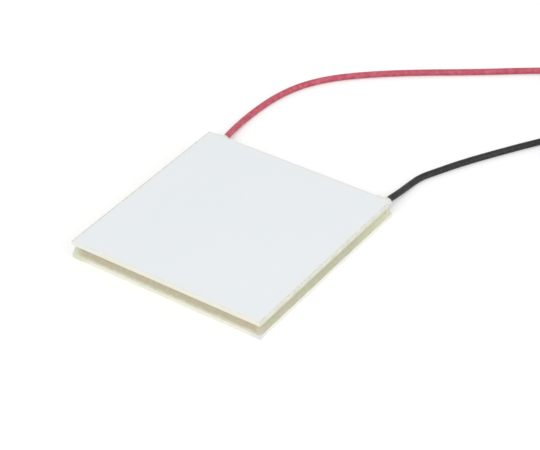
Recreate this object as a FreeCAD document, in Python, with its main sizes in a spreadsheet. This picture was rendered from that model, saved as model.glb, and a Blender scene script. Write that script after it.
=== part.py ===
"""Thermoelectric cooling module of 127 couples, with a red and a black lead.

Two ceramic plates hold a grid of semiconductor pellets between copper pads. The pads
join the pellets into one long series path, up and down the grid, from the red lead to
the black one. A bead of sealant closes the gap round the edge, and the leads come out
through it.

Frame: millimetres, +Z up. The origin is the middle of the hot plate's underside. The
leads leave through the +Y edge, the red one on the -X side.
"""

import FreeCAD
import Part

import math
import os

import Sketcher
from FreeCAD import Placement, Rotation, Vector

# Driving sizes, in millimetres unless the note says otherwise.
SIZES = [
    ("plate_side", 40.0, "side of both ceramic plates"),
    ("plate_thickness", 0.8, "thickness of a ceramic plate"),
    ("plate_edge_break", 0.05, "small bevel on a plate's edges"),
    ("pad_pairs", 8, "pads along one column of the grid, half its cells (a count)"),
    ("pad_width", 1.55, "width of a copper pad"),
    ("pad_thickness", 0.3, "thickness of a copper pad"),
    ("solder_thickness", 0.05, "solder between a pad and its pellets"),
    ("pellet_side", 1.4, "side of a square pellet"),
    ("pellet_height", 1.3, "height of a pellet"),
    ("seal_recess", 0.45, "from the plates' edge in to the sealant's rim"),
    ("seal_width", 1.05, "width of the sealant bead where it meets the cold plate"),
    ("seal_foot", 0.35, "how much further out the bead spreads on the hot plate"),
    ("seal_hollow", 0.3, "depth of the bead's hollow outer face"),
    ("seal_corner", 0.2, "radius of the bead's inner corners"),
    ("seal_clearance", 0.1, "from the bead in to the outermost pads"),
    ("collar_wall", 0.35, "sealant round a lead where it leaves the bead"),
    ("collar_setback", 0.08, "from the plates' edge in to a collar's end"),
    ("lead_diameter", 1.24, "outside of a lead's insulation"),
    ("lead_clearance", 0.03, "under a lead where it passes over the hot plate"),
    ("conductor_diameter", 0.66, "bundle of tinned strands inside a lead"),
    ("conductor_lift", 0.02, "solder under a conductor on its terminal pad"),
    ("conductor_overrun", 0.45, "from a terminal cell's middle in to a conductor's end"),
    ("joint_foot", 1.5, "solder mound on a terminal pad, across its foot"),
    ("joint_crown", 0.8, "solder mound on a terminal pad, across its top"),
    ("joint_height", 0.8, "solder mound above a terminal pad"),
    ("tip_length", 6.0, "stripped and tinned end of a lead"),
    ("coil_radius", 7.9, "outermost turn of a put-away coil, to the lead's middle"),
    ("coil_slack", 0.25, "looseness round the turns of a coil"),
    ("red_turns", 2, "turns in the red lead's coil (a count)"),
    ("black_turns", 3, "turns in the black lead's coil (a count)"),
    ("tie_width", 1.8, "width of the twist tie round a coil"),
    ("tie_thickness", 0.3, "thickness of the twist tie"),
    ("twist_diameter", 0.9, "twisted ends of the tie, across"),
    ("twist_length", 4.0, "twisted ends of the tie, along"),
]

# What follows from the driving sizes.
LAYOUT = [
    ("gap", "2 * Sizes.pad_thickness + 2 * Sizes.solder_thickness + Sizes.pellet_height",
     "clear height between the plates"),
    ("hot_solder_z", "Sizes.plate_thickness + Sizes.pad_thickness", "top of the hot pads"),
    ("pellet_z", "hot_solder_z + Sizes.solder_thickness", "foot of the pellets"),
    ("cold_solder_z", "pellet_z + Sizes.pellet_height", "top of the pellets"),
    ("cold_pad_z", "cold_solder_z + Sizes.solder_thickness", "underside of the cold pads"),
    ("cold_plate_z", "Sizes.plate_thickness + gap", "underside of the cold plate"),
    ("seal_outer", "Sizes.plate_side / 2 - Sizes.seal_recess", "middle to the bead's rim"),
    ("seal_inner", "seal_outer - Sizes.seal_width", "middle to the bead's inner face"),
    ("grid_half", "seal_inner - Sizes.seal_clearance - Sizes.pad_width / 2",
     "middle to the outermost cells' middles"),
    ("side_cells", "2 * Sizes.pad_pairs", "cells along one side of the grid"),
    ("pitch", "2 * grid_half / (side_cells - 1)", "from cell to cell"),
    ("pad_length", "pitch + Sizes.pad_width", "a pad covers two cells"),
    ("lead_z", "Sizes.plate_thickness + max(Sizes.lead_clearance + Sizes.lead_diameter / 2; "
     "Sizes.pad_thickness + Sizes.conductor_lift + Sizes.conductor_diameter / 2)",
     "height of a lead's middle where it leaves"),
    ("conductor_end", "grid_half - Sizes.conductor_overrun", "inner end of a conductor"),
    ("collar_end", "Sizes.plate_side / 2 - Sizes.collar_setback", "outer end of a collar"),
    ("bead_middle", "seal_inner + Sizes.seal_width / 2", "middle to the middle of the bead"),
    ("bead_across", "2 * bead_middle", "side of the square that the bead follows"),
    ("bead_corner", "Sizes.seal_corner + Sizes.seal_width / 2", "corner radius of that square"),
    ("bead_half", "Sizes.seal_width / 2", "half the bead's width at the cold plate"),
    ("bead_base", "Sizes.seal_width + Sizes.seal_foot", "width of the bead on the hot plate"),
    ("bead_chord", "sqrt(gap * gap + Sizes.seal_foot * Sizes.seal_foot)",
     "length of the bead's outer face, straight across its hollow"),
    ("bead_arc", "(bead_chord * bead_chord / 4 + Sizes.seal_hollow * Sizes.seal_hollow) "
     "/ (2 * Sizes.seal_hollow)", "radius of the bead's hollow face"),
    ("coil_outer", "Sizes.coil_radius + Sizes.lead_diameter / 2 + Sizes.coil_slack",
     "outside of a coil"),
    ("coil_height", "2 * Sizes.lead_diameter + Sizes.coil_slack / 2", "two layers of turns"),
    ("red_coil_width", "Sizes.lead_diameter * (Sizes.red_turns / 2 + 1) + 2 * Sizes.coil_slack",
     "turns of the red coil, side by side"),
    ("black_coil_width",
     "Sizes.lead_diameter * (Sizes.black_turns / 2 + 1) + 2 * Sizes.coil_slack",
     "turns of the black coil, side by side"),
]

# The leads' routes, as steps from where each insulation starts inside the bead. A lead
# leaves level, comes down to the surface that the module lies on, and runs on to its coil.
RED_STEPS = [
    (0.0, 0.0, 0.0),
    (0.0, 3.8, 0.0),
    (-1.3, 7.3, -0.45),
    (-2.0, 12.1, -0.83),
    (-1.9, 17.5, -0.83),
    (-1.2, 22.7, -0.83),
    (0.6, 27.9, -0.83),
    (4.0, 32.8, -0.83),
    (9.4, 37.7, -0.83),
    (16.8, 43.3, -0.83),
    (26.2, 49.5, -0.83),
    (36.0, 56.6, -0.83),
    (46.8, 63.5, -0.83),
]
BLACK_STEPS = [
    (0.0, 0.0, 0.0),
    (0.0, 3.7, 0.0),
    (0.1, 7.1, -0.45),
    (0.3, 11.2, -0.83),
    (1.6, 16.2, -0.83),
    (4.4, 21.9, -0.83),
    (8.0, 27.9, -0.83),
    (12.3, 34.4, -0.83),
    (19.1, 43.9, -0.83),
]
# A lead's loose end, past its coil: along the way it heads, to its left, and its height,
# all in lead diameters. It keeps a little of the coil's bend.
END_STEPS = [
    (0.0, 0.0, 1.5),
    (2.4, 0.0, 1.35),
    (4.8, -0.2, 0.75),
    (7.3, -0.7, 0.5),
    (9.7, -1.6, 0.5),
]
RED_TIE_ANGLE = 20
BLACK_TIE_ANGLE = -45
ARC_SHARE = 0.45  # share of the shorter run that an arc takes up

doc = FreeCAD.newDocument("thermoelectric_module")


def fill_sheets():
    """Writes the driving sizes, and the sheet of what follows from them."""
    sizes = doc.addObject("Spreadsheet::Sheet", "Sizes")
    for row, (alias, value, note) in enumerate(SIZES, start=1):
        sizes.set(f"A{row}", note)
        sizes.set(f"B{row}", str(value))
        sizes.setAlias(f"B{row}", alias)
    doc.recompute()
    layout = doc.addObject("Spreadsheet::Sheet", "Layout")
    for row, (alias, formula, note) in enumerate(LAYOUT, start=1):
        layout.set(f"A{row}", note)
        layout.set(f"B{row}", "=" + formula)
        layout.setAlias(f"B{row}", alias)
        doc.recompute()


def number(cell):
    """The value of a named cell, written as sheet and name."""
    sheet, alias = cell.split(".")
    return float(doc.getObject(sheet).get(alias))


def bind(target, bindings):
    """Ties each property to an expression of the sheets' names."""
    for name, expression in bindings.items():
        target.setExpression(name, expression)


def bind_place(target, x, y, z, prefix="Placement"):
    bind(target, {f"{prefix}.Base.x": x, f"{prefix}.Base.y": y, f"{prefix}.Base.z": z})


def origin_part(body, role):
    """A body's own origin plane or axis."""
    return next(part for part in body.Origin.OriginFeatures if part.Role == role)


def new_body(label):
    body = doc.addObject("PartDesign::Body", label)
    body.Label = label
    return body


def new_sketch(body, name, plane, at):
    """A sketch on one of the body's origin planes, its own origin moved by expressions."""
    sketch = body.newObject("Sketcher::SketchObject", name)
    sketch.AttachmentSupport = [(origin_part(body, plane), "")]
    sketch.MapMode = "FlatFace"
    bind_place(sketch, *at, prefix="AttachmentOffset")
    return sketch


def dimension(sketch, name, kind, places, cell):
    """Adds a dimension whose value is a named cell."""
    index = sketch.addConstraint(Sketcher.Constraint(kind, *places, number(cell)))
    sketch.renameConstraint(index, name)
    sketch.setExpression(f"Constraints.{name}", cell)


def draw_rectangle(sketch, width, depth):
    """A rectangle round the sketch's origin."""
    x = number(width) / 2
    y = number(depth) / 2
    corners = [Vector(-x, -y), Vector(x, -y), Vector(x, y), Vector(-x, y)]
    for i in range(4):
        sketch.addGeometry(Part.LineSegment(corners[i], corners[(i + 1) % 4]))
    for i in range(4):
        sketch.addConstraint(Sketcher.Constraint("Coincident", i, 2, (i + 1) % 4, 1))
        direction = "Horizontal" if i % 2 == 0 else "Vertical"
        sketch.addConstraint(Sketcher.Constraint(direction, i))
    sketch.addConstraint(Sketcher.Constraint("Symmetric", 0, 1, 1, 2, -1, 1))
    dimension(sketch, "width", "DistanceX", (0, 1, 0, 2), width)
    dimension(sketch, "depth", "DistanceY", (1, 1, 1, 2), depth)


def block(body, name, width, depth, height, at):
    """A rectangular pad of a body, its foot's middle at a place given by expressions."""
    sketch = new_sketch(body, f"{name}Sketch", "XY_Plane", at)
    draw_rectangle(sketch, width, depth)
    pad = body.newObject("PartDesign::Pad", name)
    pad.Profile = sketch
    pad.setExpression("Length", height)
    body.Tip = pad
    return pad


def repeat(body, feature, x_span, x_count, y_span=None, y_count=None):
    """Repeats a feature over a span of X, and over a span of Y where one is given."""
    pattern = body.newObject("PartDesign::LinearPattern", f"{feature.Name}Pattern")
    pattern.Originals = [feature]
    pattern.Direction = (origin_part(body, "X_Axis"), [""])
    pattern.Mode = "Extent"
    bind(pattern, {"Length": x_span, "Occurrences": x_count})
    if y_span:
        pattern.Direction2 = (origin_part(body, "Y_Axis"), [""])
        pattern.Mode2 = "Extent"
        bind(pattern, {"Length2": y_span, "Occurrences2": y_count})
    body.Tip = pattern
    doc.recompute()


def make_plate(label, z):
    """A ceramic plate, cut square, with a slight bevel on every edge."""
    body = new_body(label)
    slab = block(body, f"{label}_slab", "Sizes.plate_side", "Sizes.plate_side",
                 "Sizes.plate_thickness", ("0", "0", z))
    doc.recompute()
    bevel = body.newObject("PartDesign::Chamfer", f"{label}_bevel")
    bevel.Base = (slab, [f"Edge{i + 1}" for i in range(len(slab.Shape.Edges))])
    bevel.setExpression("Size", "Sizes.plate_edge_break")
    body.Tip = bevel
    return body


def make_hot_layer(label, z, thickness):
    """The hot side's pattern: every pad lies along Y, and the two corner pads on the lead
    edge are left out, because they are the terminals."""
    body = new_body(label)
    rows = block(body, f"{label}_rows", "Sizes.pad_width", "Layout.pad_length", thickness,
                 ("-Layout.grid_half", "0.5 * Layout.pitch - Layout.grid_half", z))
    repeat(body, rows, "2 * Layout.grid_half", "Layout.side_cells",
           "2 * (Sizes.pad_pairs - 2) * Layout.pitch", "Sizes.pad_pairs - 1")
    lead_row = block(body, f"{label}_lead_row", "Sizes.pad_width", "Layout.pad_length", thickness,
                     ("Layout.pitch - Layout.grid_half", "Layout.grid_half - 0.5 * Layout.pitch", z))
    repeat(body, lead_row, "(Layout.side_cells - 3) * Layout.pitch", "Layout.side_cells - 2")
    return body


def make_cold_layer(label, z, thickness):
    """The cold side's pattern: pads along Y, half a pad out of step with the hot side, and
    pads across at both edges, where the path turns from one column to the next."""
    body = new_body(label)
    rows = block(body, f"{label}_rows", "Sizes.pad_width", "Layout.pad_length", thickness,
                 ("-Layout.grid_half", "1.5 * Layout.pitch - Layout.grid_half", z))
    repeat(body, rows, "2 * Layout.grid_half", "Layout.side_cells",
           "2 * (Sizes.pad_pairs - 2) * Layout.pitch", "Sizes.pad_pairs - 1")
    far_row = block(body, f"{label}_far_row", "Layout.pad_length", "Sizes.pad_width", thickness,
                    ("0.5 * Layout.pitch - Layout.grid_half", "-Layout.grid_half", z))
    repeat(body, far_row, "2 * (Sizes.pad_pairs - 1) * Layout.pitch", "Sizes.pad_pairs")
    lead_row = block(body, f"{label}_lead_row", "Layout.pad_length", "Sizes.pad_width", thickness,
                     ("1.5 * Layout.pitch - Layout.grid_half", "Layout.grid_half", z))
    repeat(body, lead_row, "2 * (Sizes.pad_pairs - 2) * Layout.pitch", "Sizes.pad_pairs - 1")
    return body


def make_hot_solder():
    """Solder on the hot pads, and a square of it under each terminal pad's one pellet."""
    body = make_hot_layer("hot_solder", "Layout.hot_solder_z", "Sizes.solder_thickness")
    squares = block(body, "hot_solder_squares", "Sizes.pellet_side", "Sizes.pellet_side",
                    "Sizes.solder_thickness",
                    ("-Layout.grid_half", "Layout.grid_half - Layout.pitch", "Layout.hot_solder_z"))
    repeat(body, squares, "2 * Layout.grid_half", "2")
    return body


def make_pellets(label, first_column, other_column, lead_row_start):
    """One kind of pellet, on every second cell like one colour of a chessboard. The cell
    in the lead edge's corner has a lead in place of a pellet. Columns are counted from
    the red lead's side, and lead_row_start is the lead edge's first pellet of this kind."""
    body = new_body(label)

    def pellets(name, column, from_far_edge, x_count, y_count=None):
        place = (f"{column} * Layout.pitch - Layout.grid_half",
                 f"{from_far_edge} * Layout.pitch - Layout.grid_half", "Layout.pellet_z")
        one = block(body, f"{label}_{name}", "Sizes.pellet_side", "Sizes.pellet_side",
                    "Sizes.pellet_height", place)
        x_span = f"2 * ({x_count} - 1) * Layout.pitch"
        y_span = f"2 * ({y_count} - 1) * Layout.pitch" if y_count else None
        repeat(body, one, x_span, x_count, y_span, y_count)

    pellets("field", first_column, 1, "Sizes.pad_pairs", "(Sizes.pad_pairs - 1)")
    pellets("between", other_column, 0, "Sizes.pad_pairs", "Sizes.pad_pairs")
    pellets("lead_row", lead_row_start, "(Layout.side_cells - 1)", "(Sizes.pad_pairs - 1)")
    return body


def make_terminal_pad(label, side):
    """A corner pad on the lead edge, which holds a lead and one pellet."""
    body = new_body(label)
    block(body, f"{label}_strip", "Sizes.pad_width", "Layout.pad_length", "Sizes.pad_thickness",
          (f"{side} * Layout.grid_half", "Layout.grid_half - 0.5 * Layout.pitch",
           "Sizes.plate_thickness"))
    return body


def draw_rounded_square(sketch, side, radius):
    """A square with rounded corners round the sketch's origin, as one closed path."""
    half = number(side) / 2
    r = number(radius)
    for i in range(4):
        turn = Rotation(Vector(0, 0, 1), 90 * i)
        start = turn.multVec(Vector(r - half, -half))
        end = turn.multVec(Vector(half - r, -half))
        centre = turn.multVec(Vector(half - r, r - half))
        sketch.addGeometry(Part.LineSegment(start, end))
        circle = Part.Circle(centre, Vector(0, 0, 1), r)
        from_angle = math.radians(90 * i - 90)
        sketch.addGeometry(Part.ArcOfCircle(circle, from_angle, from_angle + math.pi / 2))
    for i in range(4):
        line = 2 * i
        arc = 2 * i + 1
        next_line = (2 * i + 2) % 8
        sketch.addConstraint(Sketcher.Constraint("Tangent", line, 2, arc, 1))
        sketch.addConstraint(Sketcher.Constraint("Tangent", arc, 2, next_line, 1))
        direction = "Horizontal" if i % 2 == 0 else "Vertical"
        sketch.addConstraint(Sketcher.Constraint(direction, line))
        if i:
            sketch.addConstraint(Sketcher.Constraint("Equal", 1, arc))
    sketch.addConstraint(Sketcher.Constraint("Symmetric", 0, 1, 4, 1, -1, 1))
    dimension(sketch, "radius", "Radius", (1,), radius)
    dimension(sketch, "across", "DistanceX", (6, 1, 2, 1), side)
    dimension(sketch, "along", "DistanceY", (0, 1, 4, 1), side)


def draw_bead_section(sketch):
    """The bead's section: its foot on the sketch's X axis, its hollow face towards -X. The
    foot spreads further out than the top."""
    w = number("Layout.bead_half")
    h = number("Layout.gap")
    r = number("Layout.bead_arc")
    foot = Vector(w - number("Layout.bead_base"), 0)
    rim = Vector(-w, h)
    out = Vector(foot.y - rim.y, rim.x - foot.x).normalize()
    centre = (foot + rim) / 2 + out * (r - number("Sizes.seal_hollow"))
    to_foot = foot - centre
    to_rim = rim - centre
    sketch.addGeometry(Part.LineSegment(foot, Vector(w, 0)))
    sketch.addGeometry(Part.LineSegment(Vector(w, 0), Vector(w, h)))
    sketch.addGeometry(Part.LineSegment(Vector(w, h), rim))
    circle = Part.Circle(centre, Vector(0, 0, 1), r)
    arc_start = math.atan2(to_foot.y, to_foot.x)
    sketch.addGeometry(Part.ArcOfCircle(circle, arc_start, math.atan2(to_rim.y, to_rim.x)))
    joins = ((0, 2, 1, 1), (1, 2, 2, 1), (2, 2, 3, 2), (3, 1, 0, 1))
    for places in joins:
        sketch.addConstraint(Sketcher.Constraint("Coincident", *places))
    sketch.addConstraint(Sketcher.Constraint("PointOnObject", 0, 2, -1))
    sketch.addConstraint(Sketcher.Constraint("Horizontal", 0))
    sketch.addConstraint(Sketcher.Constraint("Vertical", 1))
    sketch.addConstraint(Sketcher.Constraint("Horizontal", 2))
    dimension(sketch, "inside", "DistanceX", (-1, 1, 0, 2), "Layout.bead_half")
    dimension(sketch, "base", "DistanceX", (0, 1, 0, 2), "Layout.bead_base")
    dimension(sketch, "top", "DistanceX", (2, 2, 2, 1), "Sizes.seal_width")
    dimension(sketch, "height", "DistanceY", (1, 1, 1, 2), "Layout.gap")
    dimension(sketch, "hollow", "Radius", (3,), "Layout.bead_arc")


def make_bead():
    """The ring of sealant before the leads pass through it."""
    body = new_body("seal_bead")
    path = new_sketch(body, "bead_path", "XY_Plane", ("0", "0", "Sizes.plate_thickness"))
    draw_rounded_square(path, "Layout.bead_across", "Layout.bead_corner")
    section = new_sketch(body, "bead_section", "YZ_Plane",
                         ("-Layout.bead_middle", "Sizes.plate_thickness",
                          "Layout.bead_corner - Layout.bead_middle"))
    draw_bead_section(section)
    doc.recompute()
    pipe = body.newObject("PartDesign::AdditivePipe", "bead_pipe")
    pipe.Profile = section
    pipe.Spine = path
    body.Tip = pipe
    return body


def cylinder_along_y(label, x, y_from, y_to, z, radius):
    """A round bar along +Y between two places."""
    bar = doc.addObject("Part::Cylinder", label)
    bar.Placement = Placement(Vector(), Rotation(Vector(1, 0, 0), -90))
    bind(bar, {"Radius": radius, "Height": f"{y_to} - {y_from}"})
    bind_place(bar, x, y_from, z)
    return bar


def combine(kind, label, shapes):
    """A boolean of several shapes."""
    result = doc.addObject(kind, label)
    result.Label = label
    result.Shapes = shapes
    return result


def cut(label, base, tool):
    result = doc.addObject("Part::Cut", label)
    result.Label = label
    result.Base = base
    result.Tool = tool
    return result


def make_seal(bead):
    """The bead with a collar of sealant round each lead, and the holes that the leads pass
    through. The collars are trimmed flat where they meet the plates."""
    slab = doc.addObject("Part::Box", "collar_slab")
    bind(slab, {"Length": "Sizes.plate_side", "Width": "Sizes.plate_side", "Height": "Layout.gap"})
    bind_place(slab, "-Sizes.plate_side / 2", "-Sizes.plate_side / 2", "Sizes.plate_thickness")
    collars = []
    bores = []
    for name, side in (("red", "-1"), ("black", "1")):
        x = f"{side} * Layout.grid_half"
        radius = "Sizes.lead_diameter / 2"
        collars.append(cylinder_along_y(f"{name}_collar", x, "Layout.bead_middle",
                                        "Layout.collar_end", "Layout.lead_z",
                                        f"{radius} + Sizes.collar_wall"))
        bores.append(cylinder_along_y(f"{name}_bore", x, "Layout.grid_half",
                                      "Sizes.plate_side", "Layout.lead_z", radius))
    both = combine("Part::MultiFuse", "collars", collars)
    trimmed = combine("Part::MultiCommon", "collars_trimmed", [both, slab])
    whole = combine("Part::MultiFuse", "bead_and_collars", [bead, trimmed])
    return cut("perimeter_seal", whole, combine("Part::MultiFuse", "lead_bores", bores))


def make_conductor(name, side):
    """The bared strands of a lead, from the end of its insulation over the terminal pad."""
    bar = cylinder_along_y(f"{name}_conductor", f"{side} * Layout.grid_half", "Layout.conductor_end",
                           "Layout.seal_inner", "Layout.lead_z", "Sizes.conductor_diameter / 2")
    bar.Label = f"{name}_conductor"
    return bar


def make_joint(name, side, conductor):
    """A mound of solder round the conductor on the terminal pad."""
    mound = doc.addObject("Part::Cone", f"{name}_mound")
    bind(mound, {"Radius1": "Sizes.joint_foot / 2", "Radius2": "Sizes.joint_crown / 2",
                 "Height": "Sizes.joint_height"})
    bind_place(mound, f"{side} * Layout.grid_half", "Layout.grid_half", "Layout.hot_solder_z")
    return cut(f"{name}_solder_joint", mound, conductor)


def rounded_wire(points, what):
    """A path of straight runs joined by tangent arcs, each arc as large as its two runs
    allow. Prints the arcs' radii."""
    edges = []
    radii = []
    start = points[0]
    for before, corner, after in zip(points, points[1:], points[2:]):
        inward = before - corner
        outward = after - corner
        half_turn = (math.pi - inward.getAngle(outward)) / 2
        setback = ARC_SHARE * min(inward.Length, outward.Length)
        inward.normalize()
        outward.normalize()
        arc_start = corner + inward * setback
        arc_end = corner + outward * setback
        radius = setback / math.tan(half_turn)
        bisector = inward + outward
        bisector.normalize()
        to_arc = radius / math.cos(half_turn) - radius
        edges.append(Part.LineSegment(start, arc_start).toShape())
        edges.append(Part.Arc(arc_start, corner + bisector * to_arc, arc_end).toShape())
        radii.append(round(radius, 1))
        start = arc_end
    edges.append(Part.LineSegment(start, points[-1]).toShape())
    print(f"{what}: arc radii {radii}")
    return Part.Wire(edges)


def make_tube(label, points):
    """A round tube's solid along a path of runs and arcs, its section tied to the sheet."""
    wire = rounded_wire(points, label)
    spine = doc.addObject("Part::Feature", f"{label}_spine")
    spine.Shape = wire
    section = doc.addObject("Part::Circle", f"{label}_section")
    section.setExpression("Radius", "Sizes.lead_diameter / 2")
    along = points[1] - points[0]
    section.Placement = Placement(points[0], Rotation(Vector(0, 0, 1), along))
    doc.recompute()
    tube = doc.addObject("Part::Sweep", label)
    tube.Sections = [section]
    tube.Spine = (spine, [f"Edge{i + 1}" for i in range(len(wire.Edges))])
    tube.Solid = True
    tube.Frenet = False
    doc.recompute()
    expected = wire.Length * math.pi * (number("Sizes.lead_diameter") / 2) ** 2
    print(f"{label}: length {wire.Length:.1f}, volume {tube.Shape.Volume:.2f} of {expected:.2f}")
    if abs(tube.Shape.Volume - expected) > 0.01 * expected:
        raise ValueError(f"{label} isn't a whole tube")
    return tube


def make_tie(label, centre, angle, width):
    """A twist tie round a coil's turns: a band, with its twisted ends pointing outwards."""
    outer_box = doc.addObject("Part::Box", f"{label}_outer")
    inner_box = doc.addObject("Part::Box", f"{label}_inner")
    bind(outer_box, {"Length": f"{width} + 2 * Sizes.tie_thickness", "Width": "Sizes.tie_width",
                     "Height": "Layout.coil_height + Sizes.tie_thickness"})
    bind(inner_box, {"Length": width, "Width": "2 * Sizes.tie_width",
                     "Height": "Layout.coil_height - Sizes.tie_thickness"})
    inside = f"Layout.coil_outer - {width}"
    bind_place(outer_box, f"{inside} - Sizes.tie_thickness", "-Sizes.tie_width / 2", "0")
    bind_place(inner_box, inside, "-Sizes.tie_width", "Sizes.tie_thickness")
    twist = doc.addObject("Part::Cylinder", f"{label}_twist")
    twist.Placement = Placement(Vector(), Rotation(Vector(0, 1, 0), 90))
    bind(twist, {"Radius": "Sizes.twist_diameter / 2",
                 "Height": "Sizes.twist_length + Sizes.tie_thickness / 2"})
    bind_place(twist, "Layout.coil_outer + Sizes.tie_thickness / 2", "0",
               "Layout.coil_height / 2")
    band = cut(f"{label}_band", outer_box, inner_box)
    tie = combine("Part::MultiFuse", label, [band, twist])
    tie.Placement = Placement(centre, Rotation(Vector(0, 0, 1), angle))
    return tie


def make_coil(label, centre, width, tie):
    """The outer shape of a coil of turns in two layers, pinched under its tie."""
    body = new_body(f"{label}_ring")
    sketch = new_sketch(body, f"{label}_section", "XZ_Plane",
                        (f"Layout.coil_outer - {width} / 2", "Layout.coil_height / 2", "0"))
    draw_rectangle(sketch, width, "Layout.coil_height")
    ring = body.newObject("PartDesign::Revolution", f"{label}_turns")
    ring.Profile = sketch
    ring.ReferenceAxis = (origin_part(body, "Z_Axis"), [""])
    ring.Angle = 360
    body.Tip = ring
    body.Placement = Placement(centre, Rotation())
    return cut(label, body, tie)


def make_lead(name, side, steps, tie_angle):
    """A lead's free part: the tube to its coil, the coil, its tie, its loose end and the
    bared tip. The coil turns right as seen from above, through whole turns."""
    start = Vector(side * number("Layout.grid_half"), number("Layout.seal_inner"),
                   number("Layout.lead_z"))
    points = [start + Vector(*step) for step in steps]
    heading = points[-1] - points[-2]
    left = Vector(-heading.y, heading.x)
    heading.normalize()
    left.normalize()
    centre = points[-1] - left * number("Sizes.coil_radius")
    centre.z = 0
    width = f"Layout.{name}_coil_width"
    tie = make_tie(f"{name}_coil_tie", centre, tie_angle, width)
    coil = make_coil(f"{name}_lead_coil", centre, width, tie)
    lead = cut(f"{name}_lead", make_tube(f"{name}_lead_tube", points), coil)

    diameter = number("Sizes.lead_diameter")
    end_points = []
    for along, across, height in END_STEPS:
        point = points[-1] + (heading * along + left * across) * diameter
        point.z = height * diameter
        end_points.append(point)
    tail = cut(f"{name}_lead_tail", make_tube(f"{name}_end_tube", end_points), coil)
    tip = doc.addObject("Part::Cylinder", f"{name}_lead_tip")
    tip.Label = f"{name}_lead_tip"
    bind(tip, {"Radius": "Sizes.conductor_diameter / 2", "Height": "Sizes.tip_length"})
    last_run = end_points[-1] - end_points[-2]
    tip.Placement = Placement(end_points[-1], Rotation(Vector(0, 0, 1), last_run))
    return [lead, coil, tie, tail, tip]


def make_module():
    """Every piece of the module, as document objects whose labels are their names."""
    pieces = [
        make_plate("hot_plate", "0"),
        make_plate("cold_plate", "Layout.cold_plate_z"),
        make_hot_layer("hot_pads", "Sizes.plate_thickness", "Sizes.pad_thickness"),
        make_cold_layer("cold_pads", "Layout.cold_pad_z", "Sizes.pad_thickness"),
        make_hot_solder(),
        make_cold_layer("cold_solder", "Layout.cold_solder_z", "Sizes.solder_thickness"),
        make_pellets("p_pellets", first_column=0, other_column=1, lead_row_start=2),
        make_pellets("n_pellets", first_column=1, other_column=0, lead_row_start=1),
        make_seal(make_bead()),
    ]
    for name, side, steps, tie_angle in (
        ("red", -1, RED_STEPS, RED_TIE_ANGLE),
        ("black", 1, BLACK_STEPS, BLACK_TIE_ANGLE),
    ):
        conductor = make_conductor(name, side)
        pieces.append(make_terminal_pad(f"{name}_terminal_pad", side))
        pieces.append(conductor)
        pieces.append(make_joint(name, side, conductor))
        pieces += make_lead(name, side, steps, tie_angle)
    return pieces


def check(pieces):
    """Stops if anything in the document failed, or a piece isn't valid solids."""
    for item in doc.Objects:
        if "Invalid" in item.State or "Error" in item.State:
            raise ValueError(f"{item.Label} failed: {item.State}")
    couples = round(number("Layout.side_cells") * number("Sizes.pad_pairs")) - 1
    solids_of = {
        "hot_pads": couples - 1,
        "cold_pads": couples,
        "hot_solder": couples + 1,
        "cold_solder": couples,
        "p_pellets": couples,
        "n_pellets": couples,
    }
    for piece in pieces:
        shape = piece.Shape
        if shape.isNull() or not shape.isValid() or shape.Volume <= 0:
            raise ValueError(f"{piece.Label} isn't a valid shape")
        wanted = solids_of.get(piece.Label, 1)
        if len(shape.Solids) != wanted:
            raise ValueError(f"{piece.Label} has {len(shape.Solids)} solids, not {wanted}")
        box = shape.BoundBox
        print(f"{piece.Label}: {len(shape.Solids)} solids, {shape.Volume:.3f} mm3, "
              f"x {box.XMin:.2f} to {box.XMax:.2f}, y {box.YMin:.2f} to {box.YMax:.2f}, "
              f"z {box.ZMin:.2f} to {box.ZMax:.2f}")


fill_sheets()
module = make_module()
doc.recompute()
check(module)
os.makedirs("parts", exist_ok=True)
for piece in module:
    piece.Shape.exportStep(os.path.join("parts", piece.Label + ".step"))
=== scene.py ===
"""The looks of a thermoelectric module with a red and a black lead.

Places below are in millimetres in the module's own frame and turned into metres by MM.
The module lies on the floor with its cold plate up, and its leads leave the +Y edge.
"""

import math

import bpy
from mathutils import Matrix, Vector, noise


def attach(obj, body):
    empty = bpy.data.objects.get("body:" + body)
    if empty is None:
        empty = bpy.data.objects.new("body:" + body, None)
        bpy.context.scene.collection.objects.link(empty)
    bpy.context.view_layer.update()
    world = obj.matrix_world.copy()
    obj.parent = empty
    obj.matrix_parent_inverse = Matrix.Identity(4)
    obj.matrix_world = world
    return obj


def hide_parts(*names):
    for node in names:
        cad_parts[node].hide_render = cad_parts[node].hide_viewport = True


MM = 0.001
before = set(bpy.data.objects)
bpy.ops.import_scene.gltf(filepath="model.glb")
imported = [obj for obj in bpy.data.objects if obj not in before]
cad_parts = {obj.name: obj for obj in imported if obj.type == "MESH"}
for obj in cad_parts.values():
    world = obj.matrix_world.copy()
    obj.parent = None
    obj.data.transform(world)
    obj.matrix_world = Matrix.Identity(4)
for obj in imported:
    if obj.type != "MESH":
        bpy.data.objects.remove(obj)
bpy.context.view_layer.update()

# Camera, as fitted to the photograph of 540 by 450 pixels.
AZIMUTH = 36.40
ELEVATION = 37.14
ROLL = -1.92
DISTANCE = 332.1
TARGET = (6.09, 2.54, 3.6)
LENS = 127.67

# Light. A lamp's place and size are in metres and its strength in watts.
LAMPS = [
    ("key", (0.2, -0.75, 0.75), 0.6, 3.7),
    ("fill", (0.85, 0.1, 0.35), 0.7, 1.8),
]
WORLD_LIGHT = 0.74
FLOOR_HALF = 3.0  # metres
FLOOR_LIFT = 0.25  # glow of the floor that only the camera and shiny surfaces see

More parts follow.
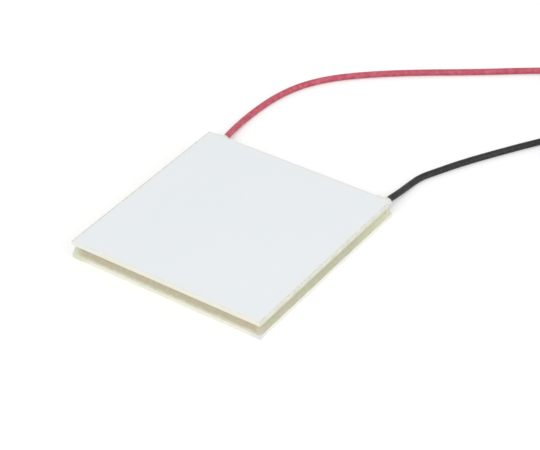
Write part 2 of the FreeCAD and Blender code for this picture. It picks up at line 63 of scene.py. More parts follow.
# Leads.
LEAD_DIAMETER = 1.24
LEAD_FLOOR = LEAD_DIAMETER / 2
LEAD_X = 17.625
LEAD_START_Y = 18.5
LEAD_Z = 1.45
RED_STEPS = [
    (0.0, 0.0, 0.0),
    (-0.4, 3.6, 0.0),
    (-1.3, 7.2, -0.5),
    (-1.8, 11.9, -0.83),
    (-1.7, 17.3, -0.83),
    (-1.0, 22.5, -0.83),
    (0.75, 27.7, -0.83),
    (4.1, 32.7, -0.83),
    (9.4, 37.7, -0.83),
    (16.8, 43.3, -0.83),
    (26.2, 49.5, -0.83),
    (36.0, 56.6, -0.83),
    (46.8, 63.5, -0.83),
]
BLACK_STEPS = [
    (0.0, 0.0, 0.0),
    (0.05, 3.6, 0.0),
    (0.3, 7.2, -0.42),
    (0.35, 11.1, -0.83),
    (0.75, 13.9, -0.83),
    (2.25, 16.95, -0.83),
    (4.6, 21.7, -0.83),
    (8.2, 27.7, -0.83),
    (12.4, 34.3, -0.83),
    (19.1, 43.9, -0.83),
]
# A loose end's steps past its coil are in lead diameters.
END_STEPS = [
    (0.0, 0.0, 1.5),
    (2.4, 0.0, 1.35),
    (4.8, -0.2, 0.75),
    (7.3, -0.7, 0.5),
    (9.7, -1.6, 0.5),
]
COIL_RADIUS = 7.9
COIL_POINTS = 16  # control points of each turn
COIL_CLIMB = 0.3  # part of a turn over which a lead climbs to its coil's upper layer
RED_TURNS = 2
BLACK_TURNS = 3
RED_TIE_ANGLE = 20
BLACK_TIE_ANGLE = -45
TIE_WIDTH = 1.8
TIE_THICKNESS = 0.3
TIE_RISE = 1.1  # radians on each side of a tie over which the turns rise onto it
TIE_CLEARANCE = 0.12
TIE_BEND = 0.55  # how far from its corner a bend of the tie begins
TWIST_LENGTH = 4.0
TWIST_TURNS = 1.5
TWIST_RADIUS = 0.2  # of each of the two twisted ends
TWIST_SPREAD = 0.21  # from the middle of the twist to the middle of an end
TIP_LENGTH = 6.0
STRAND_RADIUS = 0.11
STRAND_LAY = 9.0

# Sealant bead.
PLATE_EDGE = 20.0  # from the middle of the module
SEAL_BOTTOM = 0.8
SEAL_TOP = 2.8
SEAL_OUTER = 19.55
SEAL_WIDTH = 1.05
SEAL_CORNER = 1.25
SEAL_FOOT = 0.42
SEAL_LIMIT = 19.985  # the bead stays this side of the plates' edge
SEAL_HOLLOW = 0.3
SEAL_ROWS = 14  # of faces up the bead's outer side
SEAL_STEP = 0.16  # between places along its rim
# How much further the bead runs out into a corner, by whether x and y are positive there,
# and how fast that fades towards the cold plate.
CORNER_REACH = {
    (False, False): (0.85, 0.35),
    (False, True): (0.8, 0.5),
    (True, False): (0.3, 1.5),
    (True, True): (0.85, 0.3),
}

# The bead's mounds at the leads: how far from a lead's middle each is at its full reach,
# where it ends, and how far it stands out.
COLLAR_FULL = 0.97
COLLAR_FOOT = 1.75
COLLAR_REACH = 0.37

# Sealant that stands out past the plates round a lead: y, then the half width, middle
# height and half height of its oval section there.
BLOB = [
    (19.5, 1.6, 1.8, 0.9),
    (19.96, 1.7, 1.8, 0.95),
    (20.01, 1.8, 1.85, 1.2),
    (20.15, 1.9, 1.95, 1.5),
    (20.4, 1.85, 1.95, 1.48),
    (20.75, 1.6, 1.85, 1.3),
    (21.1, 1.32, 1.7, 1.08),
    (21.5, 1.05, 1.55, 0.9),
    (21.9, 0.86, 1.44, 0.78),
    (22.3, 0.71, 1.36, 0.68),
    (22.36, 0.5, 1.35, 0.5),
]

# Each blob's x at the plates' edge, how far it leans for each millimetre and how much wider
# it is towards the module's middle. It is widest at SPREAD_FULL past the plates' edge.
RED_BLOB = (-17.79, -0.14, 2.2)
BLACK_BLOB = (17.65, 0.02, 0.8)
SPREAD_FULL = 0.1
SPREAD_END = 1.5

# A plate's rim, painted warmer as painted light glowing through the plate's edge, and its
# scribed line, from the middle of the plate. The line shows more on the X sides.
RIM_FROM = 18.4
RIM_TO = 19.7
SCRIBE_AT = 19.8
SCRIBE_WIDTH = 0.26
SCRIBE_STRENGTHS = [("X", 0.6), ("Y", 0.2)]

SMEAR_END = 22.6  # how far along Y the smear of sealant on a lead reaches

# Colours of the plates: two of the faces, two of the walls and two of the wall on the +X
# side, the last two painted shade on the cold plate and painted light on the hot plate.
# A corner has the signs of x and y there, where its tone begins and the tone.
COLD_CERAMIC = {
    "faces": [(0.785, 0.825, 0.85), (0.8, 0.832, 0.862)],
    "walls": [(0.86, 0.83, 0.7), (0.89, 0.87, 0.75)],
    "x_walls_painted_lighting": [(0.68, 0.67, 0.55), (0.8, 0.8, 0.67)],
    "corners": [(1, 1, 36.5, (0.73, 0.73, 0.71)), (-1, -1, 33.0, (0.86, 0.86, 0.83))],
}
HOT_CERAMIC = {
    "faces": [(0.8, 0.79, 0.66), (0.84, 0.83, 0.7)],
    "walls": [(0.87, 0.86, 0.74), (0.91, 0.9, 0.79)],
    "x_walls_painted_lighting": [(0.9, 0.89, 0.81), (0.93, 0.92, 0.85)],
    "corners": [(1, -1, 37.5, (0.78, 0.78, 0.79)), (-1, -1, 36.0, (0.75, 0.76, 0.59))],
}
SPECK_COLOR = (0.72, 0.74, 0.74)
# Painted light: the warm glow through a plate's edge, near its rim.
RIM_GLOW_PAINTED_COLOR = (0.82, 0.82, 0.74)
SCRIBE_COLOR = (0.5, 0.51, 0.45)

# Colours of the sealant. A corner also has where its tone is full.
SEALANT_WARM = [(0.52, 0.45, 0.32), (0.5, 0.48, 0.33)]
SEALANT_GREEN = [(0.53, 0.5, 0.37), (0.49, 0.51, 0.35)]
SEALANT_CORNERS = [
    (-1, -1, 37.5, 39.5, (0.72, 0.74, 0.55)),
    (1, 1, 27.0, 40.0, (0.66, 0.67, 0.47)),
]
SEALANT_FLECK = (0.66, 0.65, 0.5)
SEALANT_UPPER = (0.74, 0.72, 0.58)
# Painted light: paler low on the bead, for the light from the floor, against the shade under the
# cold plate above.
SEALANT_LOW_PAINTED_LIGHT = (0.86, 0.85, 0.72)
SEALANT_OUTSIDE = (0.84, 0.85, 0.8)

# Insulation and metals.
RED_PVC = {
    "dark": (0.4, 0.05, 0.085),
    "color": (0.5, 0.07, 0.11),
    "lit": (0.6, 0.13, 0.175),
    "smeared": (0.62, 0.2, 0.27),
    "specular": 0.5,
}
BLACK_PVC = {
    "dark": (0.004, 0.004, 0.004),
    "color": (0.012, 0.013, 0.013),
    "lit": (0.034, 0.035, 0.035),
    "smeared": (0.05, 0.06, 0.05),
    "specular": 0.35,
}
COPPER = {
    "color": (0.75, 0.4, 0.26),
    "shade": (0.62, 0.3, 0.18),
    "roughness": 0.35,
    "cell_mm": 1.5,
    "depth_mm": 0.006,
}
SOLDER = {
    "color": (0.62, 0.63, 0.64),
    "shade": (0.5, 0.51, 0.52),
    "roughness": 0.38,
    "cell_mm": 0.6,
    "depth_mm": 0.02,
}
TINNED_COPPER = {
    "color": (0.72, 0.71, 0.69),
    "shade": (0.6, 0.58, 0.55),
    "roughness": 0.28,
    "cell_mm": 0.8,
    "depth_mm": 0.008,
}


def point(x, y, z):
    """A place in metres."""
    return Vector((x, y, z)) * MM


def smoothstep(value):
    """A soft step from 0 at 0 to 1 at 1."""
    value = min(max(value, 0.0), 1.0)
    return value * value * (3.0 - 2.0 * value)


def new_object(name, mesh, material):
    """A mesh piece that belongs to the module."""
    piece = bpy.data.objects.new(name, mesh)
    bpy.context.collection.objects.link(piece)
    mesh.materials.append(material)
    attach(piece, "root")
    return piece


def mesh_from(name, points, faces, smooth=True):
    """A mesh of points in metres and faces of their numbers."""
    mesh = bpy.data.meshes.new(name)
    mesh.from_pydata([tuple(p) for p in points], [], faces)
    mesh.polygons.foreach_set("use_smooth", [smooth] * len(mesh.polygons))
    mesh.update()
    return mesh


# Materials.


def seen_rays(tree):
    """A value of 1 for what the camera and shiny or clear surfaces see."""
    path = tree.nodes.new("ShaderNodeLightPath")
    value = path.outputs["Is Camera Ray"]
    for kind in ("Is Glossy Ray", "Is Transmission Ray"):
        either = tree.nodes.new("ShaderNodeMath")
        either.operation = "MAXIMUM"
        tree.links.new(value, either.inputs[0])
        tree.links.new(path.outputs[kind], either.inputs[1])
        value = either.outputs[0]
    return value


class Look:
    """A procedural material, with short ways to add and join its nodes."""

    def __init__(self, name, color, roughness, **sockets):
        self.material = bpy.data.materials.new(name)
        self.material.use_nodes = True
        self.nodes = self.material.node_tree.nodes
        self.links = self.material.node_tree.links
        self.shader = self.nodes["Principled BSDF"]
        self.shader.inputs["Base Color"].default_value = (*color, 1.0)
        self.shader.inputs["Roughness"].default_value = roughness
        for socket, value in sockets.items():
            self.shader.inputs[socket.replace("_", " ")].default_value = value
        self.place = self.add("ShaderNodeTexCoord").outputs["Object"]

    def add(self, kind, **settings):
        """A new node with its settings."""
        node = self.nodes.new(kind)
        for setting, value in settings.items():
            setattr(node, setting, value)
        return node

    def join(self, output, node, socket):
        """Links an output to a socket of a node."""
        self.links.new(output, node.inputs[socket])

    def noise(self, cell_mm, detail=3.0, rough=0.55, stretch=None):
        """Noise whose lumps are about cell_mm across, as a value from 0 to 1."""
        texture = self.add("ShaderNodeTexNoise")
        texture.inputs["Scale"].default_value = 1.0
        texture.inputs["Detail"].default_value = detail
        texture.inputs["Roughness"].default_value = rough
        mapping = self.add("ShaderNodeMapping")
        scale = 1.0 / (cell_mm * MM)
        stretch = stretch or (1.0, 1.0, 1.0)
        mapping.inputs["Scale"].default_value = [scale * s for s in stretch]
        self.join(self.place, mapping, "Vector")
        self.join(mapping.outputs["Vector"], texture, "Vector")
        return texture.outputs["Fac"]

    def ramp(self, value, stops):
        """A colour ramp over stops of position and colour."""
        node = self.add("ShaderNodeValToRGB")
        elements = node.color_ramp.elements
        while len(elements) < len(stops):
            elements.new(0.5)
        for element, (position, color) in zip(elements, stops):
            element.position = position
            element.color = (*color, 1.0)
        self.join(value, node, "Fac")
        return node.outputs["Color"]

    def mix(self, factor, first, second):
        """Two colours mixed by a factor; either may be a socket or a plain colour."""
        node = self.add("ShaderNodeMix", data_type="RGBA")
        self.join(factor, node, "Factor")
        for socket, value in (("A", first), ("B", second)):
            target = next(i for i in node.inputs if i.name == socket and i.type == "RGBA")
            if isinstance(value, (tuple, list)):
                target.default_value = (*value, 1.0)
            else:
                self.links.new(value, target)
        return next(o for o in node.outputs if o.type == "RGBA")

    def scaled(self, value, low, high, from_low=0.0, from_high=1.0):
        """A value moved from one range to another."""
        node = self.add("ShaderNodeMapRange")
        node.inputs["From Min"].default_value = from_low
        node.inputs["From Max"].default_value = from_high
        node.inputs["To Min"].default_value = low
        node.inputs["To Max"].default_value = high
        self.join(value, node, "Value")
        return node.outputs["Result"]

    def sum(self, first, second, share=1.0):
        """One value plus a share of another."""
        node = self.add("ShaderNodeMath", operation="MULTIPLY_ADD")
        self.join(second, node, 0)
        node.inputs[1].default_value = share
        self.join(first, node, 2)
        return node.outputs[0]

    def axis(self, vector, letter):
        """One axis of a vector."""
        node = self.add("ShaderNodeSeparateXYZ")
        self.join(vector, node, "Vector")
        return node.outputs[letter]

    def unsigned(self, value):
        """A value without its sign."""
        node = self.add("ShaderNodeMath", operation="ABSOLUTE")
        self.join(value, node, 0)
        return node.outputs[0]

    def facing(self, letter):
        """One axis of the direction that the surface faces."""
        return self.axis(self.add("ShaderNodeNewGeometry").outputs["True Normal"], letter)

    def corner(self, x_sign, y_sign, low, high):
        """A value that goes from 0 to 1 towards one corner of the module. Low and high are
        x and y added up, in millimetres."""
        x = self.axis(self.place, "X")
        y = self.axis(self.place, "Y")
        if x_sign < 0:
            x = self.scaled(x, 1.0, -1.0, -1.0, 1.0)
        reach = self.sum(x, y, y_sign)
        return self.scaled(reach, 0.0, 1.0, low * MM, high * MM)

    def color(self, output):
        self.join(output, self.shader, "Base Color")

    def roughness(self, output):
        self.join(output, self.shader, "Roughness")

    def bump(self, height, depth_mm, under=None):
        """Bump of a stated depth, on top of another bump where one is given."""
        node = self.add("ShaderNodeBump")
        node.inputs["Distance"].default_value = depth_mm * MM
        self.join(height, node, "Height")
        if under:
            self.join(under, node, "Normal")
        self.join(node.outputs["Normal"], self.shader, "Normal")
        return node.outputs["Normal"]


def ceramic_look(name, faces, walls, x_walls_painted_lighting, corners):
    """White alumina with a ground face. The walls have two colours, in patches, and two
    others on the +X side, painted shade on the cold plate and painted light on the hot
    plate, and at some corners one more. Near each edge the face is painted warmer, a painted
    glow of light through the plate's edge. Just in from each edge runs the dashed line of the
    scribe along which the plate was snapped."""
    look = Look(name, (0.80, 0.83, 0.86), 0.5)
    face = look.ramp(look.noise(9.0), [(0.3, faces[0]), (0.7, faces[1])])
    speck = look.noise(0.35, detail=2.0)
    face = look.mix(look.scaled(speck, 0.0, 0.35, 0.68, 0.8), face, SPECK_COLOR)
    dashes = look.scaled(look.noise(0.5, detail=1.0), 0.3, 1.0, 0.4, 0.6)
    for letter, strength in SCRIBE_STRENGTHS:
        from_middle = look.unsigned(look.axis(look.place, letter))
        # The rim is painted warmer: painted light glowing through the plate's edge.
        rim = look.scaled(from_middle, 0.0, 0.4, RIM_FROM * MM, RIM_TO * MM)
        face = look.mix(rim, face, RIM_GLOW_PAINTED_COLOR)
        on_line = look.add("ShaderNodeMath", operation="COMPARE")
        look.join(from_middle, on_line, 0)
        on_line.inputs[1].default_value = SCRIBE_AT * MM
        on_line.inputs[2].default_value = SCRIBE_WIDTH / 2 * MM
        line = look.add("ShaderNodeMath", operation="MULTIPLY")
        look.join(on_line.outputs[0], line, 0)
        look.join(dashes, line, 1)
        face = look.mix(look.scaled(line.outputs[0], 0.0, strength), face, SCRIBE_COLOR)
    patch = look.noise(1.6)
    wall = look.ramp(patch, [(0.3, walls[0]), (0.7, walls[1])])
    # The +X wall's two colours: painted shade on the cold plate, painted light on the hot plate.
    x_wall_painted_lighting = look.ramp(patch, [(0.3, x_walls_painted_lighting[0]), (0.7, x_walls_painted_lighting[1])])
    wall = look.mix(look.scaled(look.facing("X"), 0.0, 1.0, 0.4, 0.9), wall, x_wall_painted_lighting)
    for x_sign, y_sign, low, tone in corners:
        wall = look.mix(look.corner(x_sign, y_sign, low, low + 2.0), wall, tone)
    flat = look.scaled(look.unsigned(look.facing("Z")), 0.0, 1.0, 0.5, 0.95)
    look.color(look.mix(flat, wall, face))
    look.roughness(look.scaled(look.noise(2.5), 0.42, 0.58))
    grain = look.bump(look.noise(0.09, detail=2.0), 0.0035)
    look.bump(look.noise(1.2, detail=1.0), 0.004, grain)
    return look.material


def sealant_look():
    """Beige silicone, a little uneven in colour, with a soft skin. It is greener on the X
    sides. It is paler at two corners, near the cold plate, and where it stands out past the
    plates round the leads. Low down, towards the hot plate, it is painted paler: painted
    light from the floor, against the shade under the cold plate above."""
    look = Look("silicone_sealant", (0.6, 0.56, 0.42), 0.5, Subsurface_Weight=0.15,
                Subsurface_Scale=0.0006)
    patch = look.noise(4.5, detail=2.0)
    warm = look.ramp(patch, [(0.32, SEALANT_WARM[0]), (0.68, SEALANT_WARM[1])])
    green = look.ramp(patch, [(0.32, SEALANT_GREEN[0]), (0.68, SEALANT_GREEN[1])])
    sideways = look.scaled(look.unsigned(look.facing("X")), 0.0, 1.0, 0.2, 0.7)
    body = look.mix(sideways, warm, green)
    for x_sign, y_sign, low, high, tone in SEALANT_CORNERS:
        body = look.mix(look.corner(x_sign, y_sign, low, high), body, tone)
    fleck = look.scaled(look.noise(0.7), 0.0, 0.4, 0.45, 0.75)
    body = look.mix(fleck, body, SEALANT_FLECK)
    on_plus_x = look.scaled(look.facing("X"), 0.0, 1.0)
    height = look.sum(look.axis(look.place, "Z"), on_plus_x, 0.24 * MM)
    upper = look.scaled(height, 0.0, 0.7, 2.3 * MM, 2.6 * MM)
    body = look.mix(upper, body, SEALANT_UPPER)
    # Low down the bead is painted paler: painted light from the floor, against the shade under the
    # cold plate above it.
    height = look.sum(height, look.noise(0.8), 0.3 * MM)
    thin = look.scaled(height, 0.0, 1.0, 1.3 * MM, (SEAL_BOTTOM + 0.1) * MM)
    body = look.mix(thin, body, SEALANT_LOW_PAINTED_LIGHT)
    outside = look.scaled(look.axis(look.place, "Y"), 0.0, 1.0, 19.95 * MM, 20.2 * MM)
    look.color(look.mix(outside, body, SEALANT_OUTSIDE))
    look.roughness(look.scaled(look.noise(0.9), 0.35, 0.62))
    skin = look.bump(look.noise(0.5), 0.03)
    look.bump(look.noise(0.11, detail=2.0), 0.006, skin)
    return look.material


def insulation_look(name, dark, color, lit, smeared, specular):
    """Extruded PVC: satin, a little mottled, with a thin smear of sealant near the exit."""
    look = Look(name, color, 0.38, Specular_IOR_Level=specular)
    mottle = look.ramp(look.noise(0.8), [(0.3, dark), (0.5, color), (0.72, lit)])
    from_exit = look.sum(look.axis(look.place, "Y"), look.noise(0.6), 0.8 * MM)
    smear = look.scaled(from_exit, 0.0, 0.7, SMEAR_END * MM, (SMEAR_END - 0.5) * MM)
    look.color(look.mix(smear, mottle, smeared))
    look.roughness(look.scaled(look.noise(0.6), 0.28, 0.55))
    broad = look.bump(look.noise(0.9, detail=1.0), 0.02)
    look.bump(look.noise(0.12, detail=2.0), 0.005, broad)
    return look.material


def metal_look(name, color, shade, roughness, cell_mm, depth_mm):
    """Bare metal or solder with a mottled skin."""
    look = Look(name, color, roughness, Metallic=1.0)
    look.color(look.ramp(look.noise(cell_mm), [(0.35, shade), (0.65, color)]))
    look.roughness(look.scaled(look.noise(cell_mm / 3), roughness - 0.08, roughness + 0.12))
    look.bump(look.noise(cell_mm / 2), depth_mm)
    return look.material


def pellet_look(name, color, shade):
    """Sawn semiconductor: dull grey, with the saw's fine lines."""
    look = Look(name, color, 0.5, Metallic=0.6)
    look.color(look.ramp(look.noise(0.4), [(0.35, shade), (0.65, color)]))
    look.bump(look.noise(0.15, stretch=(0.2, 0.2, 4.0)), 0.01)
    return look.material


def tie_look():
    """White plastic over a wire, creased where it was twisted."""
    look = Look("tie_plastic", (0.78, 0.78, 0.75), 0.42)
    look.color(look.ramp(look.noise(0.8), [(0.3, (0.7, 0.7, 0.66)), (0.7, (0.82, 0.82, 0.79))]))
    look.bump(look.noise(0.35), 0.02)
    return look.material


def floor_look():
    """A white floor. What the camera and shiny surfaces see of it is lifted to white, and
    the shadows on it stay."""
    look = Look("floor_paper", (0.8, 0.8, 0.8), 0.9)
    look.shader.inputs["Specular IOR Level"].default_value = 0.0
    look.shader.inputs["Emission Color"].default_value = (1.0, 1.0, 1.0, 1.0)
    glow = look.scaled(seen_rays(look.material.node_tree), 0.0, FLOOR_LIFT)
    look.join(glow, look.shader, "Emission Strength")
    return look.material


# Camera, floor and light.


def add_camera():
    """The camera at the photograph's angle, with its slight roll."""
    az = math.radians(AZIMUTH)
    el = math.radians(ELEVATION)
    roll = math.radians(ROLL)
    back = Vector((math.sin(az) * math.cos(el), -math.cos(az) * math.cos(el), math.sin(el)))
    right = Vector((math.cos(az), math.sin(az), 0.0))
    up = back.cross(right)
    rolled_right = right * math.cos(roll) + up * math.sin(roll)
    rolled_up = up * math.cos(roll) - right * math.sin(roll)
    data = bpy.data.cameras.new("camera")
    data.lens = LENS
    data.sensor_width = 36.0
    data.clip_start = 0.01
    camera = bpy.data.objects.new("camera", data)
    bpy.context.collection.objects.link(camera)
    turn = Matrix((rolled_right, rolled_up, back)).transposed().to_4x4()
    camera.matrix_world = Matrix.Translation(point(*TARGET) + back * DISTANCE * MM) @ turn
    bpy.context.scene.camera = camera


def add_floor():
    """The square floor that the module lies on."""
    signs = [(-1, -1), (1, -1), (1, 1), (-1, 1)]
    corners = [(x * FLOOR_HALF, y * FLOOR_HALF, 0) for x, y in signs]
    floor = bpy.data.objects.new("floor", mesh_from("floor", corners, [(0, 1, 2, 3)], False))
    floor.data.materials.append(floor_look())
    bpy.context.collection.objects.link(floor)


def add_lamp(name, place, size, watts):
    """A square lamp that faces the module."""
    data = bpy.data.lights.new(name, "AREA")
    data.size = size
    data.energy = watts
    lamp = bpy.data.objects.new(name, data)
    lamp.location = place
    lamp.rotation_euler = (-Vector(place)).to_track_quat("-Z", "Y").to_euler()
    bpy.context.collection.objects.link(lamp)


def add_light():
    """The lamps, and a world that the camera and shiny surfaces see as white."""
    for lamp in LAMPS:
        add_lamp(*lamp)
    world = bpy.data.worlds.new("studio")
    world.use_nodes = True
    tree = world.node_tree
    background = tree.nodes["Background"]
    background.inputs["Color"].default_value = (1.0, 1.0, 1.0, 1.0)
    strength = tree.nodes.new("ShaderNodeMapRange")
    strength.inputs["To Min"].default_value = WORLD_LIGHT
    strength.inputs["To Max"].default_value = 1.0
    tree.links.new(seen_rays(tree), strength.inputs["Value"])
    tree.links.new(strength.outputs["Result"], background.inputs["Strength"])
    bpy.context.scene.world = world


# The sealant.


def rounded_square(half, radius, step):
    """Places and outward directions along a square with round corners, about step apart,
    all in millimetres."""
    places = []
    straight = 2 * (half - radius)
    for i in range(4):
        turn = Matrix.Rotation(math.radians(90 * i), 2)
        count = round(straight / step)
        for k in range(count):
            along = radius - half + straight * k / count
            places.append((turn @ Vector((along, -half)), turn @ Vector((0.0, -1.0))))
        count = round(radius * math.pi / 2 / step * 2)
        for k in range(count):
            angle = math.radians(-90 + 90 * k / count)
            out = Vector((math.cos(angle), math.sin(angle)))
            centre = Vector((half - radius, radius - half))
            places.append((turn @ (centre + out * radius), turn @ out))
    return places


def bead_hollow(height):
    """How far the bead's plain hollow face stands out from its rim at a height from 0, on
    the hot plate, to 1."""
    gap = SEAL_TOP - SEAL_BOTTOM
    chord = math.hypot(gap, SEAL_FOOT)
    radius = (chord ** 2 / 4 + SEAL_HOLLOW ** 2) / (2 * SEAL_HOLLOW)
    centre_out = SEAL_FOOT / 2 + gap / chord * (radius - SEAL_HOLLOW)
    centre_up = gap / 2 + SEAL_FOOT / chord * (radius - SEAL_HOLLOW)
    return centre_out - math.sqrt(radius ** 2 - (height * gap - centre_up) ** 2)


def bead_surface(place, out, height):
    """How far the bead's uneven face stands out from its rim at a place and a height, with
    its mounds at the leads and its longer foot in the corners."""
    z = SEAL_BOTTOM + height * (SEAL_TOP - SEAL_BOTTOM)
    where = Vector((place.x, place.y, z))
    middle = 1.0 - (2.0 * height - 1.0) ** 2  # 1 halfway up and 0 at the plates
    swell = 0.11 * noise.noise(where * 0.35) * (0.3 + 0.7 * middle)
    lumps = 0.07 * noise.noise(where * Vector((1.1, 1.1, 0.7)))
    grain = 0.03 * noise.noise(where * 3.1)
    along_edge = Vector((place.x * 0.6, place.y * 0.6, height * 9))
    ragged = (1.0 - middle) ** 4 * 0.12 * noise.noise(along_edge)
    stand = bead_hollow(height) + swell + lumps + grain + ragged
    if out.y > 0.99:
        for x in (-LEAD_X, LEAD_X):
            from_lead = math.hypot(place.x - x, z - LEAD_Z)
            share = 1.0 - smoothstep((from_lead - COLLAR_FULL) / (COLLAR_FOOT - COLLAR_FULL))
            stand += share * (COLLAR_REACH - stand)
    reach, fade = CORNER_REACH[out.x > 0, out.y > 0]
    diagonal = smoothstep(2.2 * abs(out.x * out.y))
    return stand + reach * diagonal * (1.0 - height) ** fade


def make_bead(material):
    """The ring of sealant: an uneven outer face, and a plain one inside."""
    places = rounded_square(SEAL_OUTER, SEAL_CORNER, SEAL_STEP)
    points = []
    for place, out in places:
        for row in range(SEAL_ROWS + 1):
            height = row / SEAL_ROWS
            at = place + out * bead_surface(place, out, height)
            x = min(max(at.x, -SEAL_LIMIT), SEAL_LIMIT)
            y = min(max(at.y, -SEAL_LIMIT), SEAL_LIMIT)
            points.append(point(x, y, SEAL_BOTTOM + height * (SEAL_TOP - SEAL_BOTTOM)))
        inside = place - out * SEAL_WIDTH
        points.append(point(inside.x, inside.y, SEAL_TOP))
        points.append(point(inside.x, inside.y, SEAL_BOTTOM))
    ring = SEAL_ROWS + 3
    faces = []
    for i in range(len(places)):
        here = i * ring
        after = (i + 1) % len(places) * ring
        for k in range(ring):
            nxt = (k + 1) % ring
            faces.append((here + k, after + k, after + nxt, here + nxt))
    mesh = mesh_from("sealant_bead", points, faces)
    piece = new_object("sealant_bead", mesh, material)
    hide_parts("perimeter_seal")


def make_blob(name, x, lean, spread, material):
    """The sealant that stands out past the plates round a lead, which is at x there and
    leans sideways by so much for each millimetre. It is spread along the plates towards
    the module's middle."""
    sides = 56
    points = []
    for y, half_width, middle, half_height in BLOB:
        past = max(y - PLATE_EDGE, 0.0)
        fade = smoothstep((SPREAD_END - past) / (SPREAD_END - SPREAD_FULL))
        wider = spread * smoothstep(past / SPREAD_FULL) * fade
        for k in range(sides):
            angle = 2 * math.pi * k / sides
            across = math.cos(angle)
            up = math.copysign(abs(math.sin(angle)) ** 0.8, math.sin(angle))
            where = Vector((x + 2 * across, y * 0.8, up * 1.2))
            uneven = 1.0 + 0.12 * noise.noise(where) * smoothstep(past / 0.2)
            reach = half_width + (wider if across * x < 0 else 0.0)
            points.append(point(x + lean * past + across * reach * uneven, y,
                                middle + up * half_height * uneven))
    mesh = mesh_from(name, points, tube_faces(len(BLOB), sides, 0))
    new_object(name, mesh, material)


# The leads.


def lead_route(side, steps, turns, tie_angle):
    """The control points of a lead, in millimetres, with where its coil's middle is."""
    start = Vector((side * LEAD_X, LEAD_START_Y, LEAD_Z))
    route = [start + Vector(step) for step in steps]
    heading = (route[-1] - route[-2]).normalized()
    left = Vector((-heading.y, heading.x, 0.0))
    centre = route[-1] - left * COIL_RADIUS
    centre.z = 0.0
    start_angle = math.atan2(left.y, left.x)
    bulge = 0.75 + 0.25 * math.cos(2 * math.pi / COIL_POINTS)
    for i in range(1, turns * COIL_POINTS):
        t = i / COIL_POINTS
        inward = min(t, turns / 2) - max(0.0, t - turns / 2)
        radius = (COIL_RADIUS - LEAD_DIAMETER * inward) / bulge
        angle = start_angle - 2 * math.pi * t
        climb = smoothstep((t - turns / 2 + COIL_CLIMB / 2) / COIL_CLIMB)
        away = (angle - math.radians(tie_angle) + math.pi) % (2 * math.pi) - math.pi
        lift = TIE_THICKNESS * (1.0 - smoothstep(abs(away) / TIE_RISE))
        z = LEAD_FLOOR + LEAD_DIAMETER * climb + lift
        route.append(centre + Vector((radius * math.cos(angle), radius * math.sin(angle), z)))
    from_coil = centre + left * COIL_RADIUS
    for along, across, height in END_STEPS:
        at = from_coil + (heading * along + left * across) * LEAD_DIAMETER
        at.z = height * LEAD_DIAMETER
        route.append(at)
    return route, centre


def make_cord(name, route, material):
    """A lead as one smooth round curve."""
    data = bpy.data.curves.new(name, "CURVE")
    data.dimensions = "3D"
    spline = data.splines.new("NURBS")
    spline.points.add(len(route) - 1)
    for target, at in zip(spline.points, route):
        target.co = (*(at * MM), 1.0)
    spline.order_u = 3
    spline.use_endpoint_u = True
    spline.resolution_u = 8
    data.bevel_depth = LEAD_DIAMETER / 2 * MM
    data.bevel_resolution = 5
    data.use_fill_caps = True
    cord = bpy.data.objects.new(name, data)
    bpy.context.collection.objects.link(cord)
    data.materials.append(material)
    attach(cord, "root")
    return cord


def tube_faces(count, sides, base):
    """Faces of a closed tube of count rings, its points numbered from base."""
    faces = []
    for i in range(count - 1):
        for k in range(sides):
            nxt = (k + 1) % sides
            here = base + i * sides
            faces.append((here + k, here + nxt, here + sides + nxt, here + sides + k))
    faces.append(tuple(base + k for k in reversed(range(sides))))
    faces.append(tuple(base + (count - 1) * sides + k for k in range(sides)))
    return faces


def add_tube(points, faces, line, radius, sides=10):
    """Adds a tube along a line of places in millimetres."""
    base = len(points)
    across = None
    for i, at in enumerate(line):
        along = (line[min(i + 1, len(line) - 1)] - line[max(i - 1, 0)]).normalized()
        if across is None:
            across = along.orthogonal().normalized()
        across = (across - along * across.dot(along)).normalized()
        side = along.cross(across)
        for k in range(sides):
            angle = 2 * math.pi * k / sides
            points.append((at + (across * math.cos(angle) + side * math.sin(angle)) * radius) * MM)
    faces.extend(tube_faces(len(line), sides, base))


def make_tip(name, end, heading, material):
    """The bared end: one straight strand, with six laid round it."""
    points = []
    faces = []
    side = heading.orthogonal().normalized()
    up = heading.cross(side)
    steps = 30
    for strand in range(7):
        line = []
        length = TIP_LENGTH - (0.12 * ((strand * 5) % 7) / 7 if strand else 0.0)
        for i in range(steps + 1):
            s = length * i / steps
            angle = 2 * math.pi * (s / STRAND_LAY + strand / 6)
            reach = 2 * STRAND_RADIUS if strand else 0.0
            line.append(end + heading * s + (side * math.cos(angle) + up * math.sin(angle)) * reach)
        add_tube(points, faces, line, STRAND_RADIUS)
    piece = new_object(name, mesh_from(name, points, faces), material)
    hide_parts(name.replace("strands", "lead_tip"))
    return piece


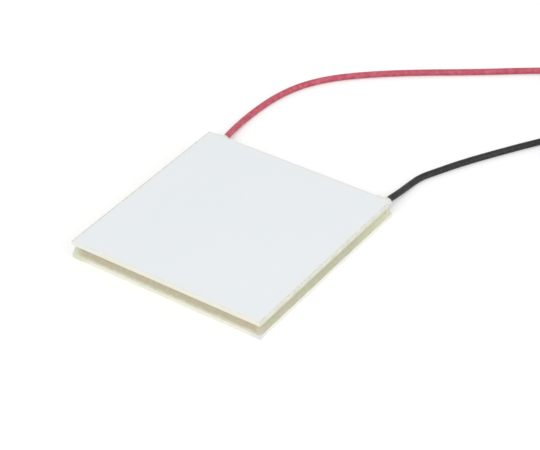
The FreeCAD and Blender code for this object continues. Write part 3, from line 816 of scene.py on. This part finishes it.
def make_tie(name, centre, angle, turns, material):
    """A twist tie: a strip round the turns, its two ends twisted together outside them."""
    inner = COIL_RADIUS - LEAD_DIAMETER * (turns + 1) / 2 - TIE_CLEARANCE
    outer = COIL_RADIUS + LEAD_DIAMETER / 2 + TIE_CLEARANCE
    top = 2 * LEAD_DIAMETER + 2 * TIE_THICKNESS
    half = TIE_THICKNESS / 2
    corners = [(outer + half, half), (outer + half, top - half), (inner - half, top - half),
               (inner - half, half)]
    turn = Matrix.Rotation(math.radians(angle), 3, "Z")
    loop = []
    for i, (r, z) in enumerate(corners):
        before = Vector(corners[i - 1]) - Vector((r, z))
        after = Vector(corners[(i + 1) % 4]) - Vector((r, z))
        first = Vector((r, z)) + before.normalized() * TIE_BEND
        last = Vector((r, z)) + after.normalized() * TIE_BEND
        for k in range(7):
            t = k / 6
            loop.append(first * (1 - t) ** 2 + Vector((r, z)) * 2 * t * (1 - t) + last * t * t)
    points = []
    faces = []
    # The strip's section in half widths and half thicknesses, with a groove outside.
    section = [(-1.0, -0.5), (-0.9, -1.0), (0.9, -1.0), (1.0, -0.5), (1.0, 0.5), (0.9, 1.0),
               (0.35, 0.55), (-0.35, 0.55), (-0.9, 1.0), (-1.0, 0.5)]
    for i, at in enumerate(loop):
        along = (loop[(i + 1) % len(loop)] - loop[i - 1]).normalized()
        out = Vector((along.y, -along.x))
        for across, thick in section:
            flat = at + out * thick * half
            local = Vector((flat.x, across * TIE_WIDTH / 2, flat.y))
            points.append((centre + turn @ local) * MM)
    n = len(section)
    for i in range(len(loop)):
        after = (i + 1) % len(loop)
        for k in range(n):
            nxt = (k + 1) % n
            faces.append((i * n + k, after * n + k, after * n + nxt, i * n + nxt))
    steps = 40
    for end in (0, 1):
        line = []
        for i in range(steps + 1):
            s = i / steps
            spin = math.pi * end + 2 * math.pi * TWIST_TURNS * s
            spread = TWIST_SPREAD + 0.22 * smoothstep((s - 0.8) / 0.2)
            spread += 0.45 * smoothstep((0.2 - s) / 0.2)
            local = Vector((outer + half + TWIST_LENGTH * s, spread * math.cos(spin) * 0.9,
                            top / 2 + spread * math.sin(spin) * 0.9))
            line.append(centre + turn @ local)
        add_tube(points, faces, line, TWIST_RADIUS, 12)
    piece = new_object(name, mesh_from(name, points, faces), material)
    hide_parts(name.replace("twist", "coil"))
    return piece


def make_lead(colour, side, steps, turns, tie_angle, insulation, strands, tie_material):
    route, centre = lead_route(side, steps, turns, tie_angle)
    cord = make_cord(f"{colour}_insulated_lead", route, insulation)
    heading = (route[-1] - route[-2]).normalized()
    tip = make_tip(f"{colour}_strands", route[-1], heading, strands)
    tie = make_tie(f"{colour}_twist_tie", centre, tie_angle, turns, tie_material)
    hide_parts(f"{colour}_lead", f"{colour}_lead_coil", f"{colour}_lead_tail")


def dress_nodes(hot_ceramic, cold_ceramic, copper, solder, tinned):
    """Gives the carried-over solids their materials."""
    looks = {
        "hot_plate": hot_ceramic, "cold_plate": cold_ceramic,
        "hot_pads": copper, "cold_pads": copper,
        "red_terminal_pad": copper, "black_terminal_pad": copper,
        "hot_solder": solder, "cold_solder": solder,
        "red_solder_joint": solder, "black_solder_joint": solder,
        "red_conductor": tinned, "black_conductor": tinned,
        "p_pellets": pellet_look("p_pellet", (0.3, 0.3, 0.31), (0.22, 0.22, 0.23)),
        "n_pellets": pellet_look("n_pellet", (0.26, 0.27, 0.29), (0.19, 0.2, 0.22)),
    }
    for node, material in looks.items():
        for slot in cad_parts[node].material_slots:
            slot.material = material


add_camera()
add_floor()
add_light()
bpy.context.scene.view_settings.view_transform = "Standard"

cold_ceramic = ceramic_look("cold_alumina", **COLD_CERAMIC)
hot_ceramic = ceramic_look("hot_alumina", **HOT_CERAMIC)
copper = metal_look("copper", **COPPER)
solder = metal_look("solder", **SOLDER)
tinned = metal_look("tinned_copper", **TINNED_COPPER)
tie_plastic = tie_look()
red_pvc = insulation_look("red_pvc", **RED_PVC)
black_pvc = insulation_look("black_pvc", **BLACK_PVC)

dress_nodes(hot_ceramic, cold_ceramic, copper, solder, tinned)
sealant = sealant_look()
make_bead(sealant)
make_blob("red_lead_sealant", *RED_BLOB, sealant)
make_blob("black_lead_sealant", *BLACK_BLOB, sealant)
make_lead("red", -1, RED_STEPS, RED_TURNS, RED_TIE_ANGLE, red_pvc, tinned, tie_plastic)
make_lead("black", 1, BLACK_STEPS, BLACK_TURNS, BLACK_TIE_ANGLE, black_pvc, tinned, tie_plastic)
